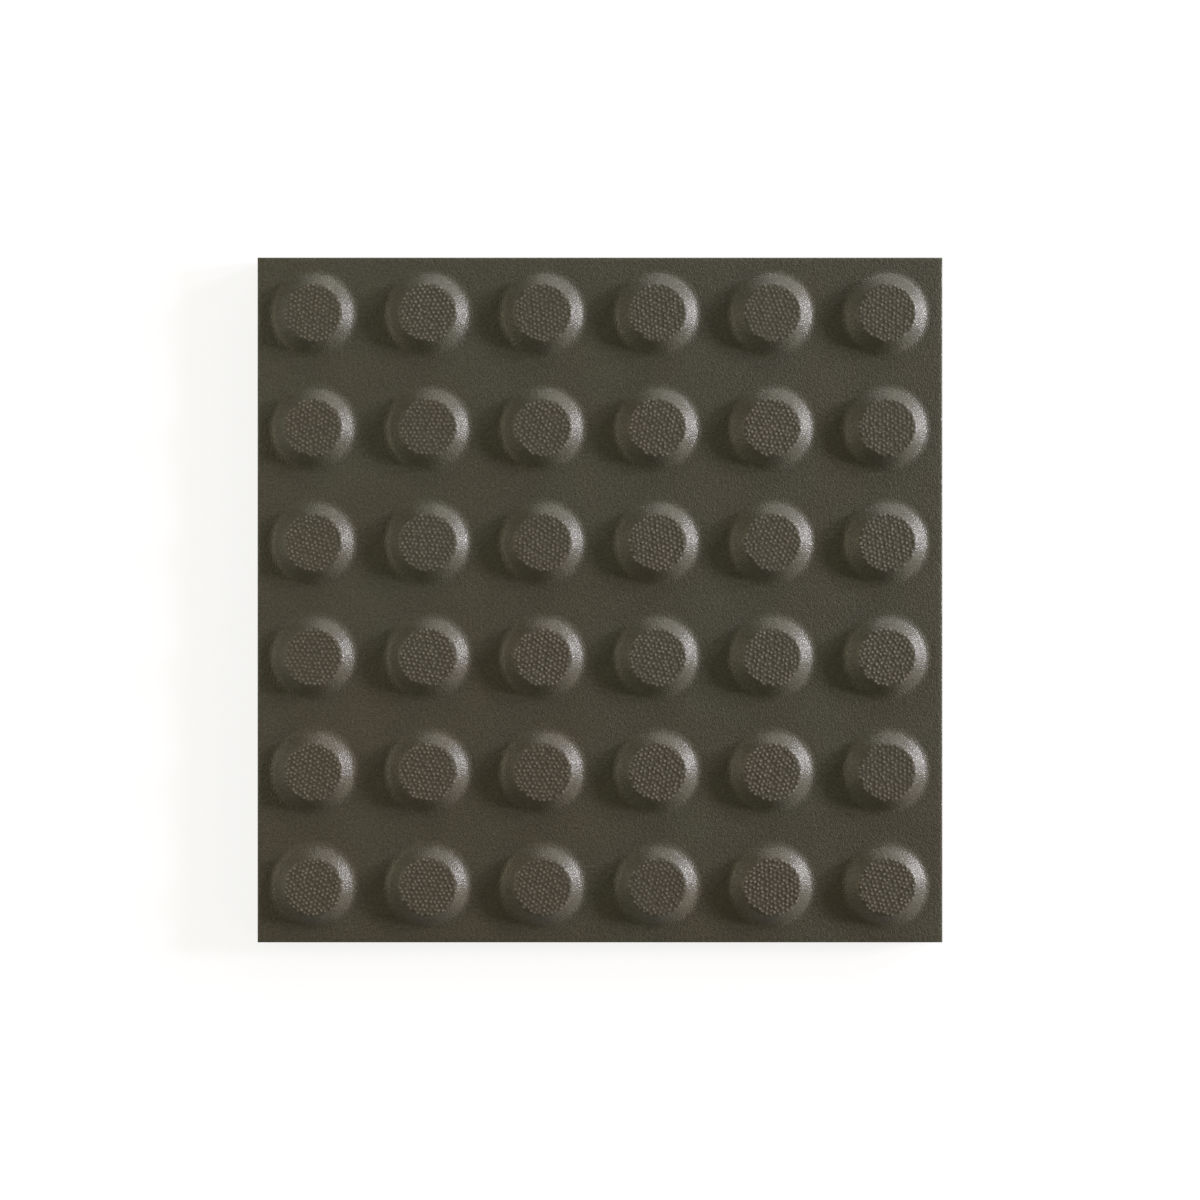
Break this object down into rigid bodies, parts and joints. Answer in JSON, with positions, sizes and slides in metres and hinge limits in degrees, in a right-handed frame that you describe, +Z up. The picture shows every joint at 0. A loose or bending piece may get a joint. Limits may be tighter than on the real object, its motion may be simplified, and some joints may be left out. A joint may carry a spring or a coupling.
{
  "type": "tactile paving slab",
  "caption": "Square fired stoneware paving slab with a grid of flat-topped warning studs with grained crowns, to be bedded as a tactile ground surface.",
  "frame": {"origin": "centre of the bedding face, which lies on the floor", "axes": "+Z up out of the walking face, X and Y along the slab's square edges and the stud rows"},
  "size_m": [0.3, 0.3, 0.015],
  "materials": {
    "stoneware": "unglazed satin, dark olive grey, fine sandy grain"
  },
  "bodies": {
    "root": {"tactile_slab": "stoneware"}
  },
  "joints": []
}
